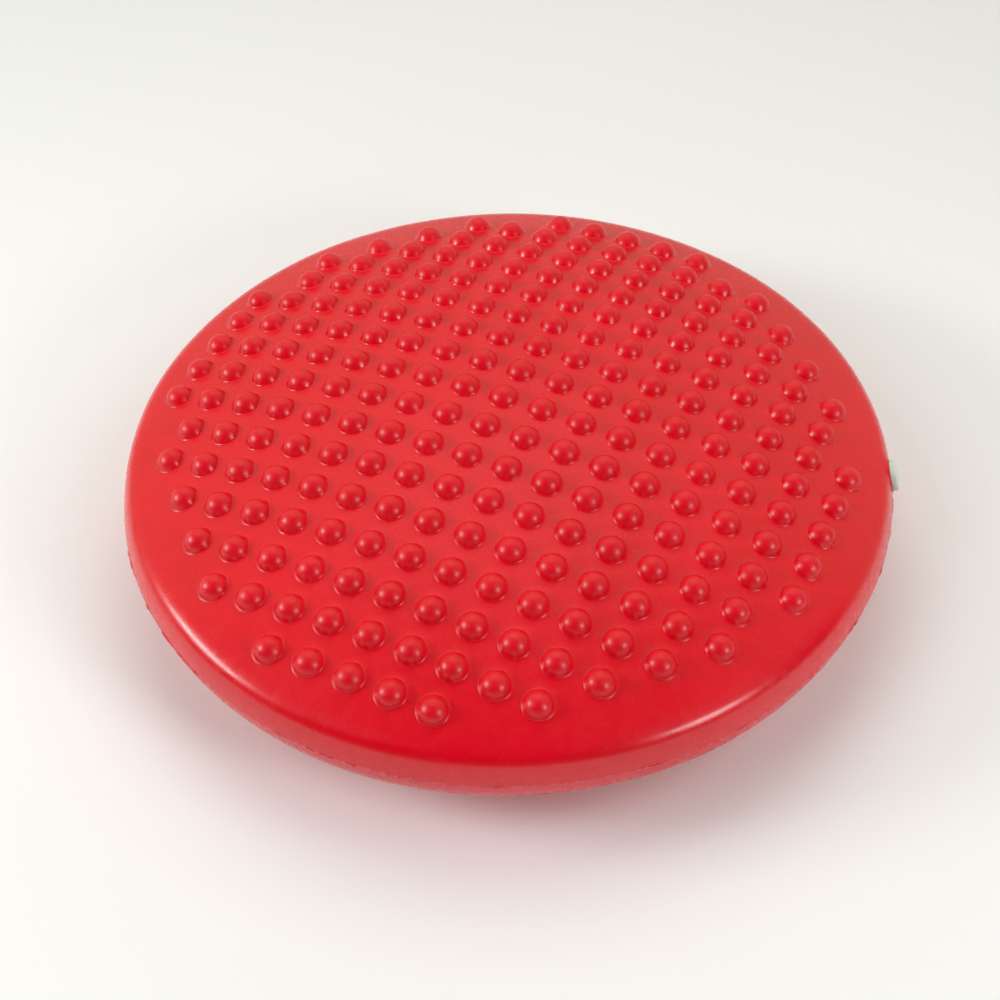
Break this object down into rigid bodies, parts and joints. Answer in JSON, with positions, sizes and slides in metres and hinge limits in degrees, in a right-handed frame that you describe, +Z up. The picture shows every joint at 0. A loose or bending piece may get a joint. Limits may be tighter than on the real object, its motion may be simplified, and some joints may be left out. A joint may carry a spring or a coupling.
{
  "type": "inflatable balance pad",
  "caption": "Round air-filled vinyl balance pad with rounded nodules on its domed top, a parting line round the rim and a push-in valve plug.",
  "frame": {"origin": "centre of the flat patch on which the pad rests, at floor level", "axes": "+Z up along the pad's axis of symmetry, +X towards the valve"},
  "size_m": [0.3945, 0.391, 0.1025],
  "materials": {
    "vinyl": "satin soft vinyl",
    "flash": "trimmed edge of the same vinyl",
    "plug": "pale translucent plastic"
  },
  "bodies": {
    "base": {"base_skin": "vinyl"},
    "flex": {"flex_ring": "vinyl"},
    "rim": {"rim_band": "vinyl", "parting_flash": "flash", "valve_sleeve": "vinyl"},
    "top": {"top_skin": "vinyl"},
    "plug": {"valve_plug": "plug"}
  },
  "joints": [
    {"name": "tilt_side", "type": "hinge", "parent": "base", "child": "flex", "pos_m": [0, 0, 0], "axis": [0, 1, 0], "range_deg": [-5, 5], "stiffness_Nm_per_rad": 150, "deforming": ["flex_ring"]},
    {"name": "tilt_front_back", "type": "hinge", "parent": "flex", "child": "rim", "pos_m": [0, 0, 0], "axis": [1, 0, 0], "range_deg": [-5, 5], "stiffness_Nm_per_rad": 150, "deforming": ["flex_ring"]},
    {"name": "top_sink", "type": "slide", "parent": "rim", "child": "top", "axis": [0, 0, 1], "range_m": [-0.015, 0], "stiffness_N_per_m": 20000},
    {"name": "valve_pull", "type": "slide", "parent": "rim", "child": "plug", "axis": [0.9613, 0, 0.2756], "range_m": [0, 0.02]}
  ]
}
